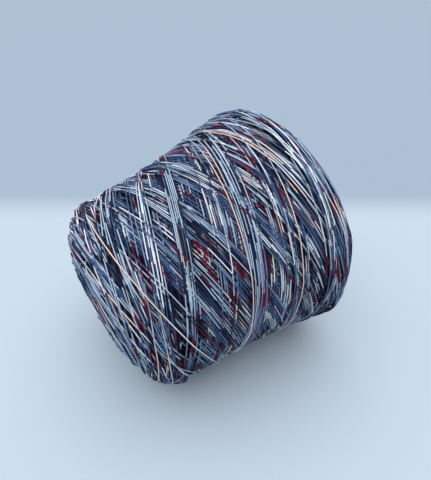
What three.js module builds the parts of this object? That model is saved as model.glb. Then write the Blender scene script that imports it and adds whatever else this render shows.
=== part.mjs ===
// A cone of yarn lying on its side. The yarn is wound crosswise, back and forth, into a tapered package
// with rounded shoulders, a shallow waist between them and an open tapered bore along its axis.
// Millimetres, +Z up. The package rests on a small flat spot on z = 0, its narrow nose towards -X and its
// wide base towards +X. The origin is on that floor, under the middle of the package's bounding box.

import * as THREE from 'three';
import { mergeVertices } from 'three/addons/utils/BufferGeometryUtils.js';

// The wound cone, measured along its own axis from the nose plane (0) to the base plane (WINDING_LENGTH).
const TAPER = THREE.MathUtils.degToRad(9.25);
const WINDING_LENGTH = 150;
const NOSE_RADIUS = 61.6;
const NOSE_SHOULDER = { axial: 22.6, radial: 38.5 };
const BASE_SHOULDER = { axial: 22, radial: 27.7 };
const WAIST = { from: 13.5, to: 137, depth: 2.4, power: 1.5 };
const BORE_NOSE_RADIUS = 19;
const MOUTH_ROUND = 2;
const SETTLE = 0.9; // how far the package's own weight flattens its underside

// The lay of the yarn: the angle at which it crosses a circle round the axis, at each end of the traverse.
const WIND_NOSE = THREE.MathUtils.degToRad(23);
const WIND_BASE = THREE.MathUtils.degToRad(9.7);

// Ribbons are the raised bands that neighbouring turns pile into. hand is +1 for the turns that climb with
// the angle round the axis and -1 for those that fall; middle is where each one crosses mid length.
const RIBBON_MIDDLE = 75;
const RIBBON_FADE = 20;
const RIBBONS = [
  { hand: 1, middle: 15, width: 14, height: 0.6 },
  { hand: 1, middle: 100, width: 13, height: 0.7 },
  { hand: 1, middle: 158, width: 11, height: 0.5 },
  { hand: 1, middle: 210, width: 16, height: 0.8 },
  { hand: 1, middle: 308, width: 13, height: 0.6 },
  { hand: -1, middle: 34, width: 13, height: 0.6 },
  { hand: -1, middle: 78, width: 13, height: 0.6 },
  { hand: -1, middle: 160, width: 15, height: 0.8 },
  { hand: -1, middle: 238, width: 13, height: 0.6 },
  { hand: -1, middle: 318, width: 13, height: 0.6 },
];

// How finely the surface is stepped.
const STEPS_AROUND = 84;
const STEPS_ALONG = 36;
const STEPS_SHOULDER = 6;
const STEPS_BORE = 4;
const STEPS_MOUTH = 2;

const YARN_COLOUR = 0x64748f;

const SLOPE = Math.tan(TAPER);

// The plain cone's radius at a place along the axis.
function coneRadius(axial) {
  return NOSE_RADIUS + SLOPE * axial;
}

// The same with the waist taken off.
function woundRadius(axial) {
  const share = THREE.MathUtils.clamp((axial - WAIST.from) / (WAIST.to - WAIST.from), 0, 1);
  return coneRadius(axial) - WAIST.depth * Math.sin(Math.PI * share) ** WAIST.power;
}

function boreRadius(axial) {
  return BORE_NOSE_RADIUS + SLOPE * axial;
}

// The tangent of the winding angle, which falls evenly from the nose to the base.
const WIND_START = Math.tan(WIND_NOSE);
const WIND_FALL = (WIND_START - Math.tan(WIND_BASE)) / WINDING_LENGTH;

function windTangent(axial) {
  return WIND_START - WIND_FALL * axial;
}

// How far a turn has gone round the axis, in radians, between mid length and a place along the axis.
function turnedBy(axial) {
  const whole = (place) => Math.log(coneRadius(place) / windTangent(place));
  const rate = (NOSE_RADIUS * WIND_FALL + SLOPE * WIND_START) * Math.cos(TAPER);
  return (whole(axial) - whole(RIBBON_MIDDLE)) / rate;
}

// The height of the ribbons at a place on the wound surface. They fade out where the yarn turns back.
function ribbonHeight(axial, angle) {
  const wind = Math.atan(windTangent(axial));
  const fromEnd = Math.min(axial, WINDING_LENGTH - axial);
  const fade = THREE.MathUtils.smoothstep(fromEnd, RIBBON_FADE / 2, RIBBON_FADE * 1.5);
  let height = 0;
  for (const ribbon of RIBBONS) {
    const centre = THREE.MathUtils.degToRad(ribbon.middle) + ribbon.hand * turnedBy(axial);
    const offset = THREE.MathUtils.euclideanModulo(angle - centre + Math.PI, 2 * Math.PI) - Math.PI;
    const across = Math.abs(offset) * coneRadius(axial) * Math.sin(wind);
    const half = ribbon.width / 2;
    if (across < half) height += ribbon.height * 0.5 * (1 + Math.cos((Math.PI * across) / half));
  }
  return height * fade;
}

// One quarter of a rounded edge, as points (radius, axial) of a lathe profile.
function quarter(steps, pointAt) {
  return Array.from({ length: steps + 1 }, (_, step) => pointAt((Math.PI / 2) * (step / steps)));
}

// The closed section of the package: out over the nose, along the cone, in over the base, back down the bore.
function section() {
  const nose = quarter(STEPS_SHOULDER, (turn) => {
    const axial = NOSE_SHOULDER.axial * (1 - Math.cos(turn));
    return [woundRadius(axial) - NOSE_SHOULDER.radial * (1 - Math.sin(turn)), axial];
  });
  const baseStart = WINDING_LENGTH - BASE_SHOULDER.axial;
  const side = Array.from({ length: STEPS_ALONG - 1 }, (_, step) => {
    const share = (step + 1) / STEPS_ALONG;
    const axial = THREE.MathUtils.lerp(NOSE_SHOULDER.axial, baseStart, share);
    return [woundRadius(axial), axial];
  });
  const base = quarter(STEPS_SHOULDER, (turn) => {
    const axial = baseStart + BASE_SHOULDER.axial * Math.sin(turn);
    return [woundRadius(axial) - BASE_SHOULDER.radial * (1 - Math.cos(turn)), axial];
  });
  const baseMouth = quarter(STEPS_MOUTH, (turn) => {
    const axial = WINDING_LENGTH - MOUTH_ROUND * (1 - Math.cos(turn));
    return [boreRadius(axial) + MOUTH_ROUND * (1 - Math.sin(turn)), axial];
  });
  const bore = Array.from({ length: STEPS_BORE - 1 }, (_, step) => {
    const share = (step + 1) / STEPS_BORE;
    const axial = THREE.MathUtils.lerp(WINDING_LENGTH - MOUTH_ROUND, MOUTH_ROUND, share);
    return [boreRadius(axial), axial];
  });
  const noseMouth = quarter(STEPS_MOUTH, (turn) => {
    const axial = MOUTH_ROUND * (1 - Math.sin(turn));
    return [boreRadius(axial) + MOUTH_ROUND * (1 - Math.cos(turn)), axial];
  });
  const outline = [...nose, ...side, ...base, ...baseMouth, ...bore, ...noseMouth];
  outline.push(outline[0]);
  return outline.map(([radius, axial]) => new THREE.Vector2(radius, axial));
}

// The section turned round the axis, with the ribbons raised on its outer side. The lathe's axis is Y.
function turnedPackage() {
  const geometry = new THREE.LatheGeometry(section(), STEPS_AROUND);
  const place = geometry.attributes.position;
  for (let i = 0; i < place.count; i += 1) {
    const axial = place.getY(i);
    const radius = Math.hypot(place.getX(i), place.getZ(i));
    const onOutside = radius > (coneRadius(axial) + boreRadius(axial)) / 2;
    if (onOutside) {
      const angle = Math.atan2(place.getX(i), place.getZ(i));
      const grown = 1 + ribbonHeight(axial, angle) / radius;
      place.setX(i, place.getX(i) * grown);
      place.setZ(i, place.getZ(i) * grown);
    }
  }
  return geometry;
}

// Lays the package on its side with its lowest line level, pressed flat where it would pass below the floor.
function layDown(geometry) {
  const along = new THREE.Vector3(Math.cos(TAPER), 0, Math.sin(TAPER));
  const sideways = new THREE.Vector3(0, 1, 0);
  const up = new THREE.Vector3().crossVectors(along, sideways);
  geometry.applyMatrix4(new THREE.Matrix4().makeBasis(up, along, sideways));
  geometry.translate(0, 0, NOSE_RADIUS * Math.cos(TAPER) - SETTLE);
  const place = geometry.attributes.position;
  for (let i = 0; i < place.count; i += 1) {
    place.setZ(i, Math.max(place.getZ(i), 0));
  }
  return geometry;
}

// Moves a body so that the origin is under the middle of its bounding box.
function centreOnFloor(geometry) {
  geometry.computeBoundingBox();
  const middle = geometry.boundingBox.getCenter(new THREE.Vector3());
  return geometry.translate(-middle.x, -middle.y, 0);
}

// Joins the lathe's seam, so that the skin is closed and shades as one surface.
function closeSkin(geometry) {
  geometry.deleteAttribute('normal');
  geometry.deleteAttribute('uv');
  const closed = mergeVertices(geometry, 1e-3);
  closed.computeVertexNormals();
  return closed;
}

function yarnWinding() {
  const geometry = closeSkin(centreOnFloor(layDown(turnedPackage())));
  const material = new THREE.MeshStandardMaterial({ color: YARN_COLOUR, roughness: 0.75, metalness: 0 });
  const mesh = new THREE.Mesh(geometry, material);
  mesh.name = 'yarn_winding';
  return mesh;
}

const yarnCone = new THREE.Group();
yarnCone.add(yarnWinding());

export default yarnCone;
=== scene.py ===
"""The looks of a cone of space-dyed yarn that lies on its side on a pale floor.

The yarn is laid turn by turn over a map of the wound surface. Each turn rests on what is already there and
bridges the hollows as a taut strand does, and what later turns bury is left out. Everything is in metres, in
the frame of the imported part.
"""

import logging
import math
from dataclasses import dataclass, field
from enum import Enum

import bpy
import numpy as np
from bpy.types import ID, Material, Node, NodeSocket, NodeTree, Object
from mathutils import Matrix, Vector

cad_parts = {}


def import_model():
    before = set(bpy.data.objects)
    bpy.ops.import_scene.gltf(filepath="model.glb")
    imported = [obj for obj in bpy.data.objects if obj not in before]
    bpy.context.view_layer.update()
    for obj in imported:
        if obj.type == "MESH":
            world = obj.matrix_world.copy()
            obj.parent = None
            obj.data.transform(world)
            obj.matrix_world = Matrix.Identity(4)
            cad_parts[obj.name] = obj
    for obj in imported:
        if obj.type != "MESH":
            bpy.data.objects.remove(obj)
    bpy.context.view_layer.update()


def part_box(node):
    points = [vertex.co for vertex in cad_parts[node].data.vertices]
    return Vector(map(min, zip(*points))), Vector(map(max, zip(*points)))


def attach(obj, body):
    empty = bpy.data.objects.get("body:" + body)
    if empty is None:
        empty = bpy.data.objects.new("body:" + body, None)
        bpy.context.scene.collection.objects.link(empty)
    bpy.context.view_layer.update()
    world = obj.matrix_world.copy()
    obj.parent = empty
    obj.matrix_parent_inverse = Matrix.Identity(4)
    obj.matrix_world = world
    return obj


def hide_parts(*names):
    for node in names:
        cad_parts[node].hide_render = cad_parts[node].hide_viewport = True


LOG = logging.getLogger("yarn_cone")

BODY = "root"
WINDING_NODE = "yarn_winding"
MM = 0.001

SEED = 4220
DYE_SEED = 53527
OUTER_STAND = -0.7 * MM
BORE_STAND = 0.3 * MM


class Hand(Enum):
    """Which way a turn goes round the axis on its way from the nose to the base."""

    RISING = 1
    FALLING = -1


@dataclass(frozen=True)
class Shoulder:
    """A rounded end of the package, a quarter of an ellipse in section."""

    axial: float
    radial: float


@dataclass(frozen=True)
class WoundForm:
    """Sizes of the wound package along its own axis, from the nose plane at 0 to the base plane."""

    taper: float = math.radians(9.25)
    length: float = 150 * MM
    nose_radius: float = 61.6 * MM
    nose: Shoulder = Shoulder(22.6 * MM, 38.5 * MM)
    base: Shoulder = Shoulder(22.0 * MM, 27.7 * MM)
    waist_from: float = 13.5 * MM
    waist_to: float = 137 * MM
    waist_depth: float = 2.4 * MM
    waist_power: float = 1.5
    bore_nose_radius: float = 19 * MM
    mouth_round: float = 2 * MM
    settle: float = 0.9 * MM
    wind_nose: float = math.radians(23)
    wind_base: float = math.radians(9.7)
    shoulder_steps: int = 120
    side_steps: int = 240
    nose_face_steps: int = 12
    base_face_steps: int = 40
    mouth_steps: int = 24
    bore_steps: int = 160

    def wound_radius(self, axial: np.ndarray) -> np.ndarray:
        """Radius of the wound side at places along the axis, shoulders left aside.

        Args:
            axial: Places along the axis.

        Returns:
            The radius at each place.
        """
        share = np.clip((axial - self.waist_from) / (self.waist_to - self.waist_from), 0, 1)
        waist = self.waist_depth * np.sin(np.pi * share) ** self.waist_power
        return self.nose_radius + math.tan(self.taper) * axial - waist

    def bore_radius(self, axial: np.ndarray) -> np.ndarray:
        """Radius of the open bore at places along the axis."""
        return self.bore_nose_radius + math.tan(self.taper) * axial

    def wind_tangent(self, axial: np.ndarray) -> np.ndarray:
        """Tangent of the angle at which the turns cross a circle round the axis."""
        start, end = math.tan(self.wind_nose), math.tan(self.wind_base)
        return start + (end - start) * np.clip(axial / self.length, 0, 1)

    def section(self) -> np.ndarray:
        """The outer section from the bore's mouth at the nose to its mouth at the base.

        Returns:
            Rows of (axial, radius), finely stepped.
        """
        turn = np.linspace(0, np.pi / 2, self.shoulder_steps)
        nose_axial = self.nose.axial * (1 - np.cos(turn))
        nose_radius = self.wound_radius(nose_axial) - self.nose.radial * (1 - np.sin(turn))
        side_axial = np.linspace(self.nose.axial, self.length - self.base.axial, self.side_steps)[1:-1]
        base_axial = self.length - self.base.axial * (1 - np.sin(turn))
        base_radius = self.wound_radius(base_axial) - self.base.radial * (1 - np.cos(turn))
        nose_mouth = self.bore_nose_radius + self.mouth_round
        base_mouth = float(self.bore_radius(self.length)) + self.mouth_round
        nose_flat = np.linspace(nose_mouth, nose_radius[0], self.nose_face_steps)[:-1]
        base_flat = np.linspace(base_radius[-1], base_mouth, self.base_face_steps)[1:]
        parts = (
            (0 * nose_flat, nose_flat),
            (nose_axial, nose_radius),
            (side_axial, self.wound_radius(side_axial)),
            (base_axial, base_radius),
            (0 * base_flat + self.length, base_flat),
        )
        return np.concatenate([np.stack(part, 1) for part in parts])

    def bore_section(self) -> np.ndarray:
        """The section of the bore's wall from mouth to mouth.

        Returns:
            Rows of (axial, radius), finely stepped.
        """
        turn = np.linspace(0, np.pi / 2, self.mouth_steps)
        edge = self.mouth_round * (1 - np.sin(turn))
        flare = self.mouth_round * (1 - np.cos(turn))
        straight = np.linspace(self.mouth_round, self.length - self.mouth_round, self.bore_steps)[1:-1]
        axial = np.concatenate([flare, straight, (self.length - flare)[::-1]])
        opening = np.concatenate([edge, 0 * straight, edge[::-1]])
        return np.stack([axial, self.bore_radius(axial) + opening], 1)


@dataclass
class Lying:
    """How the package lies: its axis tilted by the taper, its lowest line level and on the floor.

    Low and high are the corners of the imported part's box.
    """

    form: WoundForm
    low: Vector
    high: Vector

    def __post_init__(self) -> None:
        """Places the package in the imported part's box."""
        form, low, high = self.form, self.low, self.high
        self.along = np.array([math.cos(form.taper), 0, math.sin(form.taper)])
        self.side = np.array([0.0, 1.0, 0.0])
        self.up = np.array([-math.sin(form.taper), 0, math.cos(form.taper)])
        outline = form.section()
        reach = outline[:, 0] * self.along[0]
        spread = outline[:, 1] * abs(self.up[0])
        middle = ((reach - spread).min() + (reach + spread).max()) / 2
        height = form.nose_radius * self.up[2] - form.settle
        self.nose_centre = np.array([(low.x + high.x) / 2 - middle, (low.y + high.y) / 2, height])

    def points(self, axial: np.ndarray, radius: np.ndarray, angle: np.ndarray) -> np.ndarray:
        """Points of the row frame from axial places, radii, and angles round the axis from sideways to up."""
        out = np.cos(angle)[..., None] * self.side + np.sin(angle)[..., None] * self.up
        return self.nose_centre + axial[..., None] * self.along + radius[..., None] * out


def running(steps: np.ndarray) -> np.ndarray:
    """The running total of steps, from 0."""
    return np.concatenate([[0], np.cumsum(steps)])


@dataclass
class Skin:
    """A surface round the axis as a strip: how far along its section, and the angle round the axis.

    The outline has rows of (axial, radius) from the nose end to the base end.
    """

    outline: np.ndarray

    def __post_init__(self) -> None:
        """Measures the section."""
        steps = np.hypot(*np.diff(self.outline, axis=0).T)
        self.travel = running(steps)
        self.length = float(self.travel[-1])
        self._axial, self._radius = self.outline[:, 0], self.outline[:, 1]
        slope_axial = np.gradient(self._axial, self.travel)
        slope_radius = np.gradient(self._radius, self.travel)
        size = np.hypot(slope_axial, slope_radius)
        self._lean_axial = -slope_radius / size
        self._lean_radius = slope_axial / size

    def axial(self, travel: np.ndarray) -> np.ndarray:
        """Places along the axis at places along the section."""
        return np.interp(travel, self.travel, self._axial)

    def radius(self, travel: np.ndarray) -> np.ndarray:
        """Radii at places along the section."""
        return np.interp(travel, self.travel, self._radius)

    def lean(self, travel: np.ndarray) -> tuple[np.ndarray, np.ndarray]:
        """The outward normal at places along the section.

        Args:
            travel: Places along the section.

        Returns:
            Its axial and radial shares.
        """
        axial = np.interp(travel, self.travel, self._lean_axial)
        radius = np.interp(travel, self.travel, self._lean_radius)
        size = np.hypot(axial, radius)
        return axial / size, radius / size

    def at_axial(self, axial: float) -> float:
        """The place along the section where the side is at a place along the axis."""
        return float(np.interp(axial, self._axial, self.travel))


@dataclass(frozen=True)
class Strand:
    """The yarn's own sizes. Crossing strands press into each other, so one adds less than its thickness."""

    radius: float = 0.32 * MM
    rise: float = 0.3 * MM
    step: float = 4.8 * MM
    ply_pitch: float = 2.4 * MM


@dataclass
class Track:
    """One strand's way over the skin, one entry for each column of the map that it crosses."""

    column: np.ndarray
    angle: np.ndarray
    travel: np.ndarray
    run: np.ndarray
    dye: float
    dye_pace: float = 1.0
    top: np.ndarray = field(default_factory=lambda: np.zeros(0))


class Tone(Enum):
    """The colours of the yarn, in sRGB."""

    NAVY = "#13213f"
    DENIM = "#3e577e"
    STEEL = "#6f88aa"
    SKY = "#a1b6cc"
    WHITE = "#d8dee7"
    CREAM = "#e2dbd0"
    RED = "#680c2a"
    PEACH = "#e2c6ba"


@dataclass(frozen=True)
class Dye:
    """One colour of the yarn: how many stretches of it there are in a repeat, and how long they are."""

    tone: Tone
    stretches: int
    shortest: float
    longest: float


DYES = (
    Dye(Tone.NAVY, 8, 12 * MM, 32 * MM),
    Dye(Tone.DENIM, 12, 12 * MM, 32 * MM),
    Dye(Tone.STEEL, 10, 12 * MM, 30 * MM),
    Dye(Tone.SKY, 11, 12 * MM, 38 * MM),
    Dye(Tone.WHITE, 5, 10 * MM, 28 * MM),
    Dye(Tone.CREAM, 1, 14 * MM, 24 * MM),
    Dye(Tone.RED, 11, 8 * MM, 13 * MM),
    Dye(Tone.PEACH, 1, 20 * MM, 26 * MM),
)


@dataclass(frozen=True)
class Stretch:
    """A stretch of one colour along the yarn."""

    tone: Tone
    start: float
    length: float


@dataclass
class DyeRepeat:
    """The order of the colours along the yarn, drawn by chance, which comes again and again."""

    rng: np.random.Generator

    def __post_init__(self) -> None:
        """Draws the order, with no colour beside itself."""
        waiting = [dye for dye in DYES for _ in range(dye.stretches)]
        self.rng.shuffle(waiting)
        self.stretches: list[Stretch] = []
        self.length = 0.0
        while waiting:
            last = self.stretches[-1].tone if self.stretches else None
            dye = next((dye for dye in waiting if dye.tone is not last), waiting[0])
            waiting.remove(dye)
            length = float(self.rng.uniform(dye.shortest, dye.longest))
            self.stretches.append(Stretch(dye.tone, self.length, length))
            self.length += length

    def middle_of(self, tone: Tone) -> float:
        """The middle of the longest stretch of a colour."""
        longest = max((one for one in self.stretches if one.tone is tone), key=lambda one: one.length)
        return longest.start + longest.length / 2

    def halves(self) -> list[list[Stretch]]:
        """The stretches in two lists, because one colour ramp can't hold them all."""
        middle = len(self.stretches) // 2
        return [self.stretches[:middle], self.stretches[middle:]]


@dataclass(frozen=True)
class Ribbon:
    """A band of neighbouring turns: where it crosses mid length, its steepness and its dye.

    The steepness is beside the plain lay. The tone shows at tone_at degrees from mid length. A dye pace under
    1 is yarn with longer stretches of each colour than usual.
    """

    hand: Hand
    middle: float
    steepness: float
    strands: int
    spacing: float
    tone: Tone
    tone_at: float
    drift: float
    dye_pace: float = 1.0
    nose_turn: float | None = None


RIBBONS = (
    Ribbon(Hand.RISING, 22, 1.05, 7, 1.00 * MM, Tone.SKY, 0, 9 * MM),
    Ribbon(Hand.RISING, 84, 0.96, 7, 1.10 * MM, Tone.WHITE, 20, 4 * MM),
    Ribbon(Hand.RISING, 154, 0.76, 7, 1.00 * MM, Tone.NAVY, -20, 7 * MM),
    Ribbon(Hand.RISING, 247, 0.68, 10, 0.95 * MM, Tone.DENIM, -100, 6 * MM),
    Ribbon(Hand.RISING, 318, 0.95, 8, 1.00 * MM, Tone.NAVY, -165, 9 * MM),
    Ribbon(Hand.FALLING, 39, 1.28, 4, 1.10 * MM, Tone.WHITE, 58, 5 * MM, nose_turn=22 * MM),
    Ribbon(Hand.FALLING, 33, 1.04, 2, 1.60 * MM, Tone.WHITE, 105, 5 * MM),
    Ribbon(Hand.FALLING, 75, 1.16, 6, 1.05 * MM, Tone.SKY, 28, 7 * MM),
    Ribbon(Hand.FALLING, 172, 0.96, 9, 0.95 * MM, Tone.SKY, -70, 5 * MM, 0.8),
    Ribbon(Hand.RISING, 333, 1.00, 2, 1.50 * MM, Tone.PEACH, 117, 6 * MM, 0.5),
    Ribbon(Hand.RISING, 318, 0.96, 1, 1.20 * MM, Tone.PEACH, -202, 0 * MM, 0.7, 6 * MM),
    Ribbon(Hand.FALLING, 326, 1.00, 7, 1.00 * MM, Tone.WHITE, -203, 9 * MM),
    Ribbon(Hand.FALLING, 270, 0.84, 1, 1.00 * MM, Tone.PEACH, -140, 0 * MM, 0.25),
    Ribbon(Hand.RISING, 279, 1.04, 1, 1.00 * MM, Tone.PEACH, -165, 0 * MM, 0.28, 20 * MM),
    Ribbon(Hand.FALLING, 159, 0.80, 1, 1.00 * MM, Tone.PEACH, -55, 0 * MM, 0.24),
)


@dataclass(frozen=True)
class Layer:
    """Turns that fall beside those of some rounds before, so that sets of parallel strands grow."""

    sets: int
    rounds: int
    spacing: float


LAYERS = (
    Layer(7, 22, 0.80 * MM),
    Layer(5, 22, 1.10 * MM),
    Layer(8, 12, 1.35 * MM),
    Layer(5, 14, 1.70 * MM),
    Layer(7, 7, 1.20 * MM),
)
BORE_LAYERS = (
    Layer(7, 6, 1.20 * MM),
    Layer(5, 14, 0.85 * MM),
)


@dataclass(frozen=True)
class Reach:
    """Where along the axis the turns turn back, at each end."""

    nose: tuple[float, float]
    base: tuple[float, float]


OUTER_REACH = Reach((4 * MM, 24 * MM), (129 * MM, 147 * MM))
BORE_REACH = Reach((2 * MM, 7 * MM), (143 * MM, 148 * MM))


@dataclass
class LayPlan:
    """Plans the order and the way of every strand, from the innermost to the last laid."""

    form: WoundForm
    skin: Skin
    reach: Reach
    repeat: DyeRepeat
    columns: int = 1440
    way_steps: int = 360
    ease: float = 16 * MM
    hook: float = 0.35
    hook_steps: int = 24
    steep_at: float = math.radians(75)
    steep_mean: float = 0.97
    steep_swing: float = 0.19
    steep_noise: float = 0.004
    dye_noise: float = 8 * MM
    ribbon_noise: float = 0.07 * MM
    loose_bundles: int = 26
    loose_strands: tuple[int, ...] = (1, 1, 1, 2, 2, 3)
    loose_steep_noise: float = 0.06
    loose_spacing: tuple[float, float] = (0.95 * MM, 1.5 * MM)
    loose_drift: float = 8 * MM
    layer_noise: float = 0.08 * MM
    layer_steep_noise: float = 0.035
    layer_drift: tuple[float, float] = (3 * MM, 12 * MM)
    face_edges: tuple[float, float] = (14 * MM, 138 * MM)
    face_rim: float = 0.6 * MM
    face_spacing: float = 0.8 * MM
    mouth_rim: float = 0.3 * MM
    mouth_spacing: float = 0.7 * MM
    arc_steps: int = 60
    arc_length: tuple[float, float] = (45 * MM, 120 * MM)
    arc_overlap: float = 0.15
    arc_slope: float = math.radians(2.2)
    arc_bow: float = 1.0 * MM
    arc_noise: float = 0.3 * MM

    def __post_init__(self) -> None:
        """Starts the plan's own source of chance."""
        self.rng = np.random.default_rng(SEED)

    def _on_columns(self, angle: np.ndarray, travel: np.ndarray, dye: float) -> Track:
        """Samples a way over the skin at each column of the map that it crosses.

        Args:
            angle: Angles along the way, all rising or all falling.
            travel: Places along the section.
            dye: Where along the dye repeat the strand starts.

        Returns:
            The strand.
        """
        step = 2 * np.pi / self.columns
        if angle[-1] < angle[0]:
            angle, travel = angle[::-1], travel[::-1]
        column = np.arange(math.ceil(angle[0] / step), math.floor(angle[-1] / step) + 1)
        on = column * step
        travel = np.interp(on, angle, travel)
        steps = np.hypot(self.skin.radius(travel)[1:] * step, np.diff(travel))
        return Track(column % self.columns, on, travel, running(steps), dye)

    def traverse(
        self,
        hand: Hand,
        middle: float,
        steepness: float,
        aside: float,
        dye: float,
        nose_turn: float | None = None,
    ) -> Track:
        """One strand from shoulder to shoulder, turning back at both ends.

        Args:
            hand: The way it goes round.
            middle: The angle, in radians, where it crosses mid length.
            steepness: Its wind angle's tangent beside the plain lay.
            aside: How far it is shifted sideways across its ribbon.
            dye: Where along the dye repeat the strand starts.
            nose_turn: Where along the axis it turns back at the nose, or None for anywhere in reach.

        Returns:
            Its way over the skin.
        """
        nose_chance = self.rng.uniform(*self.reach.nose)
        start = self.skin.at_axial(nose_chance if nose_turn is None else nose_turn)
        end = self.skin.at_axial(self.rng.uniform(*self.reach.base))
        share = np.linspace(0, 1, self.way_steps)
        travel = start + (end - start) * share * share * (3 - 2 * share)
        mid = (travel[1:] + travel[:-1]) / 2
        tangent = self.form.wind_tangent(self.skin.axial(mid)) * steepness
        for gap in (mid - start, end - mid):
            tangent = tangent * np.sqrt(1 - np.exp(-gap / self.ease))
        turned = running(np.diff(travel) / (self.skin.radius(mid) * tangent))
        centre = np.interp(self.skin.at_axial(self.form.length / 2), travel, turned)
        angle = middle + aside / self._across(steepness) + hand.value * (turned - centre)
        hook = np.linspace(0, self.hook, self.hook_steps)[1:]
        back = np.interp(hook, turned, travel)
        ahead = np.interp(turned[-1] - hook, turned, travel)
        angle = np.concatenate([(angle[0] - hand.value * hook)[::-1], angle, angle[-1] + hand.value * hook])
        travel = np.concatenate([back[::-1], travel, ahead])
        return self._on_columns(angle, travel, dye)

    def _across(self, steepness: float) -> float:
        """How far two strands are apart, square to them at mid length, when they are one radian apart.

        Args:
            steepness: Their wind angle's tangent beside the plain lay.

        Returns:
            The distance.
        """
        middle = self.form.length / 2
        wind = math.atan(float(self.form.wind_tangent(middle)) * steepness)
        return float(self.skin.radius(self.skin.at_axial(middle))) * math.sin(wind)

    def _steepness(self, middle: float) -> float:
        """The lay's usual steepness for strands that cross mid length at an angle."""
        return self.steep_mean + self.steep_swing * math.cos(middle - self.steep_at)

    def _bundle(self, ribbon: Ribbon) -> list[Track]:
        """The strands of one ribbon.

        Args:
            ribbon: The ribbon.

        Returns:
            Its strands, in the order in which they are laid.
        """
        order = np.arange(ribbon.strands) - (ribbon.strands - 1) / 2
        if self.rng.random() < 0.5:
            order = order[::-1]
        middle = math.radians(ribbon.middle)
        shows_at = math.radians(ribbon.middle + ribbon.tone_at)
        tracks = []
        for place in order:
            aside = place * ribbon.spacing + self.rng.normal(0, self.ribbon_noise)
            dye = self.repeat.middle_of(ribbon.tone) + place * ribbon.drift
            dye += self.rng.normal(0, self.dye_noise)
            steepness = ribbon.steepness * (1 + self.rng.normal(0, self.steep_noise))
            track = self.traverse(ribbon.hand, middle, steepness, aside, dye, ribbon.nose_turn)
            track.dye_pace = ribbon.dye_pace
            track.dye -= ribbon.dye_pace * float(np.interp(shows_at, track.angle, track.run))
            tracks.append(track)
        return tracks

    def _loose_bundle(self) -> list[Track]:
        """A few neighbouring strands anywhere on the package."""
        rng = self.rng
        middle = rng.uniform(0, 360)
        ribbon = Ribbon(
            hand=Hand.RISING if rng.random() < 0.5 else Hand.FALLING,
            middle=middle,
            steepness=self._steepness(math.radians(middle)) * rng.normal(1.0, self.loose_steep_noise),
            strands=int(rng.choice(self.loose_strands)),
            spacing=rng.uniform(*self.loose_spacing),
            tone=rng.choice(list(Tone)),
            tone_at=rng.uniform(-180, 180),
            drift=rng.uniform(-self.loose_drift, self.loose_drift),
        )
        return self._bundle(ribbon)

    def _layer(self, layer: Layer) -> list[Track]:
        """The strands of one layer, set beside set and hand after hand.

        Args:
            layer: The layer.

        Returns:
            Its strands, in the order in which they are laid.
        """
        rng = self.rng
        lanes = [(hand, number) for number in range(layer.sets) for hand in Hand]
        start = {hand: rng.uniform(0, 2 * np.pi) for hand in Hand}
        steep = {lane: rng.normal(1, self.layer_steep_noise) for lane in lanes}
        phase = {lane: rng.random() * self.repeat.length for lane in lanes}
        drift = {lane: rng.choice([-1, 1]) * rng.uniform(*self.layer_drift) for lane in lanes}
        tracks = []
        for turn in range(layer.rounds):
            for lane in lanes:
                hand, number = lane
                middle = start[hand] + 2 * np.pi * number / layer.sets
                aside = turn * layer.spacing + rng.normal(0, self.layer_noise)
                dye = phase[lane] + turn * drift[lane] + rng.normal(0, self.dye_noise)
                steepness = self._steepness(middle) * steep[lane] * (1 + rng.normal(0, self.steep_noise))
                tracks.append(self.traverse(hand, middle, steepness, aside, dye))
        return tracks

    def _face_arcs(self, near: float, far: float, spacing: float, layers: int) -> list[Track]:
        """Arcs of older turns that show on an end face.

        Args:
            near: Where along the section the arcs start.
            far: Where they end.
            spacing: Distance between neighbouring arcs.
            layers: How many times the face is gone over.

        Returns:
            The arcs, in random order.
        """
        tracks = []
        for travel in np.tile(np.arange(near, far, spacing), layers):
            radius = float(self.skin.radius(travel))
            angle = self.rng.uniform(0, 2 * np.pi)
            stop = angle + 2 * np.pi
            while angle < stop:
                span = self.rng.uniform(*self.arc_length) / radius
                slope = math.tan(self.rng.normal(0, self.arc_slope))
                first, last = angle - self.arc_overlap * span, angle + (1 + self.arc_overlap) * span
                on = np.linspace(first, last, self.arc_steps)
                away = (on - angle - span / 2) * radius
                bow = self.rng.normal(0, self.arc_bow) * (away / (span * radius / 2)) ** 2
                way = travel + away * slope + bow + self.rng.normal(0, self.arc_noise)
                way = np.clip(way, self.mouth_rim, self.skin.length - self.mouth_rim)
                tracks.append(self._on_columns(on, way, self.rng.random() * self.repeat.length))
                angle += span
        self.rng.shuffle(tracks)
        return tracks

    def bore_tracks(self) -> list[Track]:
        """Every strand that shows in the bore, the first laid in front."""
        mouth = 2 * self.form.mouth_round
        length = self.skin.length
        arcs = self._face_arcs(self.mouth_rim, mouth, self.mouth_spacing, 1)
        arcs += self._face_arcs(length - mouth, length - self.mouth_rim, self.mouth_spacing, 1)
        return arcs + [track for layer in BORE_LAYERS for track in self._layer(layer)]

    def tracks(self) -> list[Track]:
        """Every strand of the outer surface, in the order in which it is laid."""
        nose_edge, base_edge = (self.skin.at_axial(edge) for edge in self.face_edges)
        faces = self._face_arcs(self.face_rim, nose_edge, self.face_spacing, 2)
        faces += self._face_arcs(base_edge, self.skin.length - self.face_rim, self.face_spacing, 2)
        layers = [track for layer in LAYERS for track in self._layer(layer)]
        ribbons = [track for ribbon in RIBBONS for track in self._bundle(ribbon)]
        for _ in range(self.loose_bundles):
            place = int(self.rng.integers(0, len(ribbons)))
            ribbons[place:place] = self._loose_bundle()
        return faces + layers + ribbons


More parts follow.
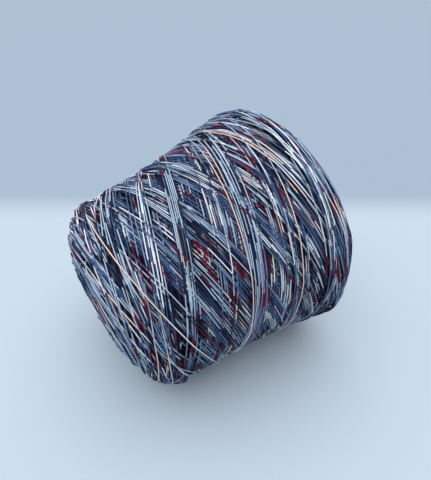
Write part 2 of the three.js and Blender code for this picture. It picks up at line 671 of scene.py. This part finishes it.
@dataclass
class HeightMap:
    """The height of the laid yarn over the skin, and which strand is on top."""

    skin: Skin
    strand: Strand
    columns: int
    row_step: float = 0.2 * MM
    even_steps: int = 61
    least_lean: float = 0.3

    def __post_init__(self) -> None:
        """Makes an empty map."""
        rows = int(self.skin.length / self.row_step) + 2
        self.height = np.zeros((rows, self.columns))
        self.owner = np.full((rows, self.columns), -1)
        reach = math.ceil(self.strand.radius / self.row_step)
        self.offsets = np.arange(-reach, reach + 1)

    def _cells(self, track: Track) -> tuple[np.ndarray, np.ndarray, np.ndarray]:
        """The cells of the map under a strand.

        Args:
            track: The strand.

        Returns:
            Their rows, their columns, and how far the strand's round side is above its lowest line there.
        """
        radius = self.strand.radius
        centre = np.rint(track.travel / self.row_step).astype(int)
        rows = np.clip(centre[:, None] + self.offsets, 0, len(self.height) - 1)
        away = np.abs(rows * self.row_step - track.travel[:, None])
        within = np.clip(radius**2 - away**2, 0, None)
        lift = np.where(away < radius, radius - np.sqrt(within), np.inf)
        return rows, np.broadcast_to(track.column[:, None], rows.shape), lift

    def _taut(self, run: np.ndarray, ground: np.ndarray, bend: np.ndarray) -> np.ndarray:
        """The height of a taut strand over the ground.

        Args:
            run: Distance along the strand.
            ground: Height that the strand can't go below.
            bend: The surface's own fall away from a straight line.

        Returns:
            The strand's height above the surface.
        """
        places = run.tolist()
        levels = (ground + bend).tolist()
        kept: list[int] = []
        for i, (x, y) in enumerate(zip(places, levels)):
            while len(kept) > 1:
                a, b = kept[-2], kept[-1]
                chord = (levels[b] - levels[a]) * (x - places[a])
                if chord > (y - levels[a]) * (places[b] - places[a]):
                    break
                kept.pop()
            kept.append(i)
        return np.interp(run, run[kept], (ground + bend)[kept]) - bend

    def lay(self, number: int, track: Track) -> None:
        """Lays one strand on the map and notes its height.

        Args:
            number: The strand's place in the order.
            track: Its way, which gets its top.
        """
        steps = np.diff(track.run)
        rows, columns, lift = self._cells(track)
        under = self.height[rows, columns]
        ground = (under - lift).max(1)
        lean = np.clip(self.skin.lean(track.travel)[1], self.least_lean, 1)
        curve = lean / self.skin.radius(track.travel)
        slope = running((curve[1:] + curve[:-1]) / 2 * steps)
        bend = -running((slope[1:] + slope[:-1]) / 2 * steps)
        track.top = self._taut(track.run, ground, bend) + self.strand.rise
        edge = track.top[:, None] - lift
        above = edge > under
        self.height[rows[above], columns[above]] = edge[above]
        seen = self._seen(rows, columns, above)
        self.owner[rows[seen], columns[seen]] = number

    def _seen(self, rows: np.ndarray, columns: np.ndarray, above: np.ndarray) -> np.ndarray:
        """Which of the cells under a new strand show it: from outside, those where it is on top."""
        return above

    def shown(self, number: int, track: Track, margin: float) -> np.ndarray:
        """Where a strand shows, as one flag for each of its samples.

        Args:
            number: The strand's place in the order.
            track: Its way.
            margin: How far each run goes on under what covers it.

        Returns:
            The flags.
        """
        rows, columns, lift = self._cells(track)
        open_here = ((self.owner[rows, columns] == number) & np.isfinite(lift)).any(1)
        spacing = track.run[-1] / max(len(track.run) - 1, 1)
        grow = max(1, round(margin / spacing))
        return np.convolve(open_here, np.ones(2 * grow + 1), "same") > 0.5

    def crests(self, reach: float) -> np.ndarray:
        """The highest place round each place of the map.

        Args:
            reach: How far round it.

        Returns:
            The heights.
        """
        crest = self.height
        rows = round(reach / self.row_step)
        columns = round(reach / (float(self.skin.radius(self.skin.length / 2)) * 2 * np.pi / self.columns))
        for axis, most in enumerate((rows, columns)):
            crest = np.max([np.roll(crest, shift, axis) for shift in range(-most, most + 1)], axis=0)
        return crest

    def depth(self, track: Track, crests: np.ndarray) -> np.ndarray:
        """How far a strand lies below the crests round it, for each of its samples."""
        row = np.clip(np.rint(track.travel / self.row_step).astype(int), 0, len(crests) - 1)
        return np.clip(crests[row, track.column] - track.top, 0, None)

    def level(self) -> np.ndarray:
        """The height of the laid yarn with its small relief smoothed away, for each place of the map."""
        even = self.height
        window = np.hanning(2 * self.even_steps + 1)[1:-1]
        window /= window.sum()
        for axis, mode in enumerate(("edge", "wrap")):
            pad = [(0, 0), (0, 0)]
            pad[axis] = (self.even_steps - 1, self.even_steps - 1)
            even = np.apply_along_axis(np.convolve, axis, np.pad(even, pad, mode=mode), window, "valid")
        return even


class BoreMap(HeightMap):
    """The same for the wall of the bore, where the strand that was laid first is in front."""

    def _seen(self, rows: np.ndarray, columns: np.ndarray, above: np.ndarray) -> np.ndarray:
        """Which of the cells under a new strand show it: from inside, those that were still open."""
        return above & (self.owner[rows, columns] < 0)

    def depth(self, track: Track, crests: np.ndarray) -> np.ndarray:
        """How far a strand lies behind the wall's face, for each of its samples."""
        return track.top - self.strand.rise

    def level(self) -> np.ndarray:
        """The wall's face, from which the strands lie outwards."""
        return np.zeros_like(self.height)


@dataclass
class Run:
    """A stretch of yarn that shows: its centre line, and each point's place along the dye and its depth,
    which sets its painted shade.
    """

    points: np.ndarray
    dye: np.ndarray
    depth: np.ndarray


@dataclass
class Winding:
    """The laid yarn of one surface, whose mean turn stands a given height over the modelled skin."""

    lying: Lying
    laid: HeightMap
    tracks: list[Track]
    stand: float
    margin: float = 2.0 * MM
    shortest: float = 5.0 * MM
    crest_reach: float = 0.9 * MM
    tuck: float = 1.6 * MM
    tuck_length: float = 12 * MM

    def __post_init__(self) -> None:
        """Lays the yarn."""
        self.skin = self.laid.skin
        self.strand = self.laid.strand
        for number, track in enumerate(self.tracks):
            self.laid.lay(number, track)
        self.level = self.laid.level()
        self.crests = self.laid.crests(self.crest_reach)
        mean = self.laid.height.mean() / MM
        LOG.info("laid %d strands, mean height %.2f mm", len(self.tracks), mean)

    def ground(self, travel: np.ndarray, angle: np.ndarray) -> np.ndarray:
        """Height of the map's zero over the modelled skin, which levels the turns with it everywhere.

        Args:
            travel: Places along the section.
            angle: Angles round the axis.

        Returns:
            The height at each place.
        """
        rows, columns = self.level.shape
        just_short = rows - 1.001
        row = np.clip(travel / self.laid.row_step, 0, just_short)
        column = angle / (2 * np.pi) * columns
        above, beside = np.floor(row).astype(int), np.floor(column).astype(int)
        down, across = row - above, column - beside
        near, far = beside % columns, (beside + 1) % columns
        first = self.level[above, near] * (1 - across) + self.level[above, far] * across
        second = self.level[above + 1, near] * (1 - across) + self.level[above + 1, far] * across
        return self.stand - first * (1 - down) - second * down

    def place(self, travel: np.ndarray, angle: np.ndarray, height: np.ndarray) -> np.ndarray:
        """Points of the row frame from places on the skin.

        Args:
            travel: Places along the section.
            angle: Angles round the axis.
            height: Heights over the skin.

        Returns:
            The points, none of them nearer the floor than a strand's radius.
        """
        lean_axial, lean_radius = self.skin.lean(travel)
        axial = self.skin.axial(travel) + height * lean_axial
        radius = self.skin.radius(travel) + height * lean_radius
        points = self.lying.points(axial, radius, angle)
        points[..., 2] = np.maximum(points[..., 2], self.strand.radius)
        return points

    def _cut(self, track: Track, depth: np.ndarray, first: int, last: int) -> Run:
        """One shown stretch of a strand, sampled at even steps.

        Args:
            track: The strand.
            depth: How deep it lies, for each of its samples.
            first: The stretch's first sample.
            last: Its last sample.

        Returns:
            The stretch.
        """
        start, stop = track.run[first], track.run[last]
        at = np.linspace(start, stop, max(2, round((stop - start) / self.strand.step) + 1))
        travel, angle, top, deep = (
            np.interp(at, track.run, values) for values in (track.travel, track.angle, track.top, depth)
        )
        from_end = np.minimum(at, track.run[-1] - at)
        tucked = self.tuck * (1 - np.clip(from_end / self.tuck_length, 0, 1)) ** 2
        height = top - self.strand.radius + self.ground(travel, angle) - tucked
        return Run(self.place(travel, angle, height), at * track.dye_pace + track.dye, deep)

    def runs(self) -> list[Run]:
        """Every stretch of yarn that shows."""
        found = []
        for number, track in enumerate(self.tracks):
            flags = self.laid.shown(number, track, self.margin)
            depth = self.laid.depth(track, self.crests)
            edges = np.flatnonzero(np.diff(np.concatenate([[0], flags.astype(int), [0]])))
            for first, last in zip(edges[::2], edges[1::2] - 1):
                if track.run[last] - track.run[first] >= self.shortest:
                    found.append(self._cut(track, depth, first, last))
        return found


def linear(hex_colour: str) -> tuple[float, float, float, float]:
    """Turns an sRGB hex colour to linear light.

    Args:
        hex_colour: Six hex digits after a #.

    Returns:
        Red, green, blue and alpha.
    """
    parts = [int(hex_colour[i : i + 2], 16) / 255 for i in (1, 3, 5)]
    curve = [p / 12.92 if p <= 0.04045 else ((p + 0.055) / 1.055) ** 2.4 for p in parts]
    return (*curve, 1.0)


def add_object(name: str, data: ID) -> Object:
    """Adds an object to the scene.

    Args:
        name: Its name.
        data: Its mesh, light or camera.

    Returns:
        The object.
    """
    made = bpy.data.objects.new(name, data)
    bpy.context.scene.collection.objects.link(made)
    return made


def add_node(tree: NodeTree, kind: str, settings: dict | None = None, links: dict | None = None) -> Node:
    """Adds a node with its settings and what feeds it.

    Args:
        tree: The tree that it goes into.
        kind: Blender's name for the node's type.
        settings: Values by property name, or by input name or number.
        links: Output sockets, or nodes for their first output, by the input's name or number.

    Returns:
        The node.
    """
    node = tree.nodes.new(kind)
    for name, value in (settings or {}).items():
        if isinstance(name, str) and name in node.bl_rna.properties:
            setattr(node, name, value)
        else:
            node.inputs[name].default_value = value
    for name, source in (links or {}).items():
        socket = source.outputs[0] if isinstance(source, Node) else source
        tree.links.new(socket, node.inputs[name])
    return node


def empty_material(name: str) -> Material:
    """A new material with nothing in its tree.

    Args:
        name: Its name.

    Returns:
        The material.
    """
    material = bpy.data.materials.new(name)
    material.use_nodes = True
    material.node_tree.nodes.clear()
    return material


@dataclass(frozen=True)
class DyedYarnWithPaintedShade:
    """Mercerised cotton yarn, space-dyed in short stretches.

    Gives the eye a smooth strand with a soft sheen, a faint ply twist and colours that change along it. Its
    fibres are drawn several times coarser than real ones, because those are too fine to show. Shade is also
    painted into its colour: it darkens towards a near-black shadow tone the deeper a strand lies below the
    crests round it, and a little in the ply twist's grooves.
    """

    strand: Strand
    repeat: DyeRepeat
    roughness: float = 0.6
    sheen: float = 0.03
    ior: float = 1.2
    bleed: float = 1.4 * MM
    fibre: float = 0.18 * MM
    fibre_range: tuple[float, float] = (0.3, 0.7)
    fibre_light: tuple[float, float] = (0.86, 1.12)
    # Painted shade: the ply twist's grooves are made slightly darker than its plies.
    painted_groove_shade: tuple[float, float] = (0.96, 1.01)
    twist_height: float = 0.015 * MM
    twist_strength: float = 0.8
    # Painted shade: strands lying deeper below the crests round them are darkened towards the shadow tone,
    # from the first depth down to the second.
    painted_shade_from: float = 0.15 * MM
    painted_shade_full_depth: float = 1.0 * MM
    painted_shade_most: float = 0.97
    shadow: str = "#040b22"

    def material(self) -> Material:
        """Builds the material."""
        material = empty_material("mercerised_cotton_space_dyed_painted_shade")
        tree = material.node_tree
        place = add_node(tree, "ShaderNodeTexCoord").outputs["Object"]
        along = add_node(tree, "ShaderNodeAttribute", {"attribute_name": "yarn_length"}).outputs["Fac"]
        ring = add_node(tree, "ShaderNodeAttribute", {"attribute_name": "ring"}).outputs["Vector"]
        below = add_node(tree, "ShaderNodeAttribute", {"attribute_name": "yarn_depth"}).outputs["Fac"]
        fine = {"Scale": 1 / self.fibre, "Detail": 2.0}
        fibres = add_node(tree, "ShaderNodeTexNoise", fine, {"Vector": place}).outputs["Fac"]
        blur = {"To Min": -self.bleed, "To Max": self.bleed}
        ragged = add_node(tree, "ShaderNodeMapRange", blur, {"Value": fibres})
        dyed_at = add_node(tree, "ShaderNodeMath", {"operation": "ADD"}, {0: along, 1: ragged})
        dyed = self._dyed(tree, dyed_at.outputs[0])
        least, most = self.fibre_range
        darker, lighter = self.fibre_light
        spread = {"From Min": least, "From Max": most, "To Min": darker, "To Max": lighter}
        shade = add_node(tree, "ShaderNodeMapRange", spread, {"Value": fibres})
        groove = self._groove(tree, along, ring)
        # Painted shade: the ply twist's grooves are darkened slightly, and this is multiplied with the
        # fibres' random tone.
        darker, lighter = self.painted_groove_shade
        spread = {"From Min": -1.0, "To Min": darker, "To Max": lighter}
        twist = add_node(tree, "ShaderNodeMapRange", spread, {"Value": groove})
        light = add_node(tree, "ShaderNodeMath", {"operation": "MULTIPLY"}, {0: shade, 1: twist})
        lit = add_node(tree, "ShaderNodeVectorMath", {"operation": "SCALE"}, {0: dyed, "Scale": light})
        # Painted shade: the colour is mixed towards the near-black shadow tone the deeper the strand lies
        # below the crests round it.
        spread = {"From Min": self.painted_shade_from, "From Max": self.painted_shade_full_depth, "To Max": self.painted_shade_most}
        buried = add_node(tree, "ShaderNodeMapRange", spread, {"Value": below})
        deep = {"data_type": "RGBA", 7: linear(self.shadow)}
        colour = add_node(tree, "ShaderNodeMix", deep, {0: buried, 6: lit}).outputs[2]
        relief = {"Distance": self.twist_height, "Strength": self.twist_strength}
        bump = add_node(tree, "ShaderNodeBump", relief, {"Height": groove})
        finish = {"Roughness": self.roughness, "Sheen Weight": self.sheen, "IOR": self.ior}
        surface = add_node(tree, "ShaderNodeBsdfPrincipled", finish, {"Base Color": colour, "Normal": bump})
        add_node(tree, "ShaderNodeOutputMaterial", {}, {"Surface": surface})
        return material

    def _groove(self, tree: NodeTree, along: NodeSocket, ring: NodeSocket) -> Node:
        """The ply twist as a wave that winds round the strand, 1 on a ply and -1 in a groove.

        Args:
            tree: The material's tree.
            along: The socket that gives the place along the yarn.
            ring: The socket that gives the direction from the strand's middle.

        Returns:
            The wave's node.
        """
        parts = add_node(tree, "ShaderNodeSeparateXYZ", {}, {0: ring}).outputs
        angle = add_node(tree, "ShaderNodeMath", {"operation": "ARCTAN2"}, {0: parts["Y"], 1: parts["X"]})
        pitch = {"operation": "MULTIPLY", 1: 2 * math.pi / self.strand.ply_pitch}
        wound = add_node(tree, "ShaderNodeMath", pitch, {0: along})
        two_plies = {"operation": "MULTIPLY_ADD", 1: 2.0}
        doubled = add_node(tree, "ShaderNodeMath", two_plies, {0: angle, 2: wound})
        return add_node(tree, "ShaderNodeMath", {"operation": "SINE"}, {0: doubled})

    def _dyed(self, tree: NodeTree, along: NodeSocket) -> NodeSocket:
        """The dye at places along the yarn.

        Args:
            tree: The material's tree.
            along: The socket that gives the place.

        Returns:
            The colour's socket.
        """
        length = self.repeat.length
        turns = add_node(tree, "ShaderNodeMath", {"operation": "DIVIDE", 1: length}, {0: along})
        share = add_node(tree, "ShaderNodeMath", {"operation": "FRACT"}, {0: turns})
        ramps = []
        halves = self.repeat.halves()
        for half in halves:
            ramp = add_node(tree, "ShaderNodeValToRGB", {}, {"Fac": share})
            ramp.color_ramp.interpolation = "CONSTANT"
            stops = ramp.color_ramp.elements
            stops.remove(stops[-1])
            ramps.append(ramp)
            for number, stretch in enumerate(half):
                stop = stops[0] if number == 0 else stops.new(stretch.start / length)
                stop.position = stretch.start / length
                stop.color = linear(stretch.tone.value)
        split = {"operation": "GREATER_THAN", 1: halves[1][0].start / length}
        second = add_node(tree, "ShaderNodeMath", split, {0: share})
        mix = add_node(tree, "ShaderNodeMix", {"data_type": "RGBA"}, {0: second, 6: ramps[0], 7: ramps[1]})
        return mix.outputs[2]


@dataclass
class StrandTree:
    """A Geometry Nodes tree that turns centre lines to round strands of yarn."""

    strand: Strand

    def __post_init__(self) -> None:
        """Builds the tree."""
        tree = bpy.data.node_groups.new("yarn_strand", "GeometryNodeTree")
        face = tree.interface
        face.new_socket("Geometry", in_out="INPUT", socket_type="NodeSocketGeometry")
        for name, kind in (("Strand radius", "Float"), ("Sides", "Int"), ("Material", "Material")):
            face.new_socket(name, in_out="INPUT", socket_type=f"NodeSocket{kind}")
        face.new_socket("Geometry", in_out="OUTPUT", socket_type="NodeSocketGeometry")
        given = add_node(tree, "NodeGroupInput").outputs
        line = add_node(tree, "GeometryNodeMeshToCurve", {}, {"Mesh": given["Geometry"]})
        sizes = {"Resolution": given["Sides"], "Radius": given["Strand radius"]}
        circle = add_node(tree, "GeometryNodeCurvePrimitiveCircle", {}, sizes)
        place = add_node(tree, "GeometryNodeInputPosition")
        out = add_node(tree, "ShaderNodeVectorMath", {"operation": "NORMALIZE"}, {0: place})
        kept = {"data_type": "FLOAT_VECTOR", "domain": "POINT", "Name": "ring"}
        ring = add_node(tree, "GeometryNodeStoreNamedAttribute", kept, {"Geometry": circle, "Value": out})
        path = {"Curve": line, "Profile Curve": ring}
        tube = add_node(tree, "GeometryNodeCurveToMesh", {"Fill Caps": True}, path)
        smooth = add_node(tree, "GeometryNodeSetShadeSmooth", {}, {"Geometry": tube})
        real = add_node(tree, "GeometryNodeRealizeInstances", {}, {"Geometry": smooth})
        dress = {"Geometry": real, "Material": given["Material"]}
        dressed = add_node(tree, "GeometryNodeSetMaterial", {}, dress)
        add_node(tree, "NodeGroupOutput", {}, {"Geometry": dressed})
        self.tree = tree
        inputs = [item for item in face.items_tree if item.item_type == "SOCKET" and item.in_out == "INPUT"]
        self.sockets = {item.name: item.identifier for item in inputs}

    def make(self, name: str, runs: list[Run], material: Material, sides: int) -> Object:
        """Makes one piece of strands.

        Args:
            name: The piece's name.
            runs: The centre lines.
            material: What the strands are made of.
            sides: Number of sides of a strand.

        Returns:
            The finished mesh object.
        """
        points = np.concatenate([run.points for run in runs])
        counts = np.array([len(run.points) for run in runs])
        starts = np.setdiff1d(np.arange(len(points)), np.cumsum(counts) - 1)
        mesh = bpy.data.meshes.new(name)
        mesh.vertices.add(len(points))
        mesh.edges.add(len(starts))
        mesh.vertices.foreach_set("co", points.astype(np.float32).ravel())
        mesh.edges.foreach_set("vertices", np.stack([starts, starts + 1], 1).astype(np.int32).ravel())
        dyes = [run.dye for run in runs]
        depths = [run.depth for run in runs]
        # The depth attribute sets the painted shade in the yarn's material.
        for measure, values in (("yarn_length", dyes), ("yarn_depth", depths)):
            kept = mesh.attributes.new(measure, "FLOAT", "POINT")
            kept.data.foreach_set("value", np.concatenate(values).astype(np.float32))
        mesh.update()
        line = add_object(f"{name}_lines", mesh)
        grow = line.modifiers.new("strands", "NODES")
        grow.node_group = self.tree
        grow[self.sockets["Strand radius"]] = self.strand.radius
        grow[self.sockets["Sides"]] = sides
        grow[self.sockets["Material"]] = material
        shown = line.evaluated_get(bpy.context.evaluated_depsgraph_get())
        made = bpy.data.meshes.new_from_object(shown)
        line.modifiers.remove(grow)
        bpy.data.objects.remove(line)
        made.name = name
        return add_object(name, made)


def take_part(piece: Object) -> None:
    """Rides a piece on the part's body and reports it.

    Args:
        piece: The piece.
    """
    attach(piece, BODY)
    triangles = sum(len(face.vertices) - 2 for face in piece.data.polygons)
    LOG.info("%s: %d triangles", piece.name, triangles)


@dataclass
class ShownTurns:
    """The turns that show on one surface, in pieces of a size that stays easy to handle."""

    name: str
    winding: Winding
    tree: StrandTree
    sides: int
    most_steps: int = 15000

    def build(self, material: Material) -> None:
        """Builds the pieces.

        Args:
            material: The yarn's material.
        """
        runs = self.winding.runs()
        total = sum(len(run.points) - 1 for run in runs)
        LOG.info("%s: %d runs, %d steps", self.name, len(runs), total)
        share = math.ceil(total / math.ceil(total / self.most_steps))
        group, steps, number = [], 0, 1
        for run in runs:
            group.append(run)
            steps += len(run.points) - 1
            if steps >= share or run is runs[-1]:
                take_part(self.tree.make(f"{self.name}_{number}", group, material, self.sides))
                group, steps, number = [], 0, number + 1


@dataclass
class UnderWinding:
    """The body of buried yarn under the turns that show, with the wall of the bore."""

    form: WoundForm
    winding: Winding
    around: int = 180
    outer_rings: int = 110
    bore_rings: int = 22
    above_zero: float = 0.1 * MM
    behind_bore: float = 0.9 * MM

    def build(self, material: Material) -> Object:
        """Builds the body.

        Args:
            material: Its material.

        Returns:
            The mesh object.
        """
        angle = np.linspace(0, 2 * np.pi, self.around, endpoint=False)[None, :]
        travel = np.linspace(0, self.winding.skin.length, self.outer_rings)[:, None]
        outside = self.winding.place(travel, angle, self.winding.ground(travel, angle) + self.above_zero)
        bore_axial = np.linspace(self.form.length, 0, self.bore_rings + 2)[1:-1, None]
        bore_radius = self.form.bore_radius(bore_axial) + self.behind_bore
        wall = self.winding.lying.points(bore_axial, bore_radius, angle)
        points = np.concatenate([outside, wall]).reshape(-1, 3)
        count = self.outer_rings + self.bore_rings
        here, step = np.arange(count)[:, None], np.arange(self.around)[None, :]
        after, beside = (here + 1) % count, (step + 1) % self.around
        turn = ((here, step), (here, beside), (after, beside), (after, step))
        quads = np.stack([ring * self.around + place for ring, place in turn], -1).reshape(-1, 4)
        mesh = bpy.data.meshes.new("buried_winding")
        mesh.from_pydata(points.tolist(), [], quads.tolist())
        mesh.polygons.foreach_set("use_smooth", [True] * len(quads))
        mesh.materials.append(material)
        mesh.update()
        return add_object("buried_winding", mesh)


@dataclass(frozen=True)
class BuriedYarn:
    """The same yarn where it lies deep between the turns and out of the light: matt, with its colour painted
    near black as shade, in place of its dyes.
    """

    # Painted shade: near black for the shade deep between the turns, not one of the yarn's dyes.
    colour: str = "#0c1222"
    roughness: float = 0.9
    grain: float = 0.8 * MM
    relief: float = 0.3 * MM

    def material(self) -> Material:
        """Builds the material."""
        material = empty_material("buried_cotton_painted_shade")
        tree = material.node_tree
        place = add_node(tree, "ShaderNodeTexCoord").outputs["Object"]
        rough = {"Scale": 1 / self.grain, "Detail": 3.0}
        grain = add_node(tree, "ShaderNodeTexNoise", rough, {"Vector": place}).outputs["Fac"]
        relief = {"Distance": self.relief, "Strength": 1.0}
        bump = add_node(tree, "ShaderNodeBump", relief, {"Height": grain})
        finish = {"Base Color": linear(self.colour), "Roughness": self.roughness}
        surface = add_node(tree, "ShaderNodeBsdfPrincipled", finish, {"Normal": bump})
        add_node(tree, "ShaderNodeOutputMaterial", {}, {"Surface": surface})
        return material


@dataclass(frozen=True)
class FloorPaper:
    """Matt paper, pale near the object and darker far behind it, where the sweep rises; that darker tone is
    painted shade, as the rise is not modelled.
    """

    near: str = "#a0aeba"
    # Painted shade: the far tone is darker to stand for the shaded rise of the paper sweep, which is not
    # modelled.
    far: str = "#8493a3"
    roughness: float = 0.85
    fold: float = 0.178
    fold_width: float = 0.035

    def material(self, forward: Vector) -> Material:
        """Builds the material.

        Args:
            forward: The level direction away from the viewer's side.

        Returns:
            The material.
        """
        material = empty_material("matt_paper_painted_shade")
        tree = material.node_tree
        place = add_node(tree, "ShaderNodeTexCoord").outputs["Object"]
        measure = {"operation": "DOT_PRODUCT", 1: forward}
        away = add_node(tree, "ShaderNodeVectorMath", measure, {0: place}).outputs["Value"]
        # Painted shade: past the fold the floor fades to the darker far tone.
        fade = {"From Min": self.fold - self.fold_width, "From Max": self.fold + self.fold_width}
        fade["interpolation_type"] = "SMOOTHSTEP"
        share = add_node(tree, "ShaderNodeMapRange", fade, {"Value": away})
        tones = {"data_type": "RGBA", 6: linear(self.near), 7: linear(self.far)}
        colour = add_node(tree, "ShaderNodeMix", tones, {0: share}).outputs[2]
        finish = {"Roughness": self.roughness}
        surface = add_node(tree, "ShaderNodeBsdfPrincipled", finish, {"Base Color": colour})
        add_node(tree, "ShaderNodeOutputMaterial", {}, {"Surface": surface})
        return material


@dataclass
class Studio:
    """Floor, light and camera, none of which is part of the object."""

    lying: Lying
    form: WoundForm
    eye: tuple[float, float, float] = (-15.75 * MM, -156.75 * MM, 229.75 * MM)
    look: tuple[float, float, float] = (0.43927, 0.64870, -0.62147)
    lens: float = 24.9
    sensor: float = 36.0
    clip: tuple[float, float] = (0.01, 20.0)
    floor_size: float = 40.0
    tent_from: tuple[float, float, float] = (-0.12, 0.0, 1.0)
    tent_strength: float = 4.95
    tent_spread: float = math.radians(91)
    sky: str = "#dfe8f5"
    sky_strength: float = 0.2

    def build(self) -> None:
        """Builds the stage."""
        self._floor()
        self._sky()
        self._tent()
        self._camera()

    def _floor(self) -> None:
        """A pale floor, plain near the object, with painted shade far behind it where the sweep rises."""
        half = self.floor_size / 2
        mesh = bpy.data.meshes.new("floor")
        square = [(-half, -half, 0), (half, -half, 0), (half, half, 0), (-half, half, 0)]
        mesh.from_pydata(square, [], [(0, 1, 2, 3)])
        forward = Vector((self.look[0], self.look[1], 0)).normalized()
        mesh.materials.append(FloorPaper().material(forward))
        add_object("floor", mesh)

    def _sky(self) -> None:
        """Even light from all round."""
        world = bpy.data.worlds.new("soft_box")
        world.use_nodes = True
        back = world.node_tree.nodes["Background"]
        back.inputs["Color"].default_value = linear(self.sky)
        back.inputs["Strength"].default_value = self.sky_strength
        bpy.context.scene.world = world

    def _tent(self) -> None:
        """A wide soft light from above, as under a light tent."""
        data = bpy.data.lights.new("tent_top", "SUN")
        data.energy = self.tent_strength
        data.angle = self.tent_spread
        lamp = add_object("tent_top", data)
        lamp.rotation_euler = (-Vector(self.tent_from)).to_track_quat("-Z", "Y").to_euler()

    def _camera(self) -> None:
        """The camera at the photograph's angle."""
        data = bpy.data.cameras.new("view")
        data.lens = self.lens
        data.sensor_width = self.sensor
        data.clip_start, data.clip_end = self.clip
        camera = add_object("view", data)
        ground = Vector((self.lying.nose_centre[0], self.lying.nose_centre[1], -self.form.settle))
        camera.location = ground + Vector(self.eye)
        camera.rotation_euler = Vector(self.look).to_track_quat("-Z", "Y").to_euler()
        bpy.context.scene.camera = camera


def main() -> None:
    """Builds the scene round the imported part."""
    logging.basicConfig(level=logging.INFO, format="%(name)s: %(message)s")
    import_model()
    form = WoundForm()
    strand = Strand()
    lying = Lying(form, *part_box(WINDING_NODE))
    Studio(lying, form).build()
    repeat = DyeRepeat(np.random.default_rng(DYE_SEED))
    outside, bore_wall = Skin(form.section()), Skin(form.bore_section())
    outer_plan = LayPlan(form, outside, OUTER_REACH, repeat)
    bore_plan = LayPlan(form, bore_wall, BORE_REACH, repeat)
    outer_map = HeightMap(outside, strand, outer_plan.columns)
    bore_map = BoreMap(bore_wall, strand, bore_plan.columns)
    outer = Winding(lying, outer_map, outer_plan.tracks(), OUTER_STAND)
    bore = Winding(lying, bore_map, bore_plan.bore_tracks(), BORE_STAND)
    buried = UnderWinding(form, outer).build(BuriedYarn().material())
    take_part(buried)
    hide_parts(WINDING_NODE)
    tree = StrandTree(strand)
    yarn = DyedYarnWithPaintedShade(strand, repeat).material()
    ShownTurns("outer_turns", outer, tree, 5).build(yarn)
    ShownTurns("bore_turns", bore, tree, 4).build(yarn)
    bpy.context.scene.view_settings.view_transform = "Standard"


if __name__ == "__main__":
    main()
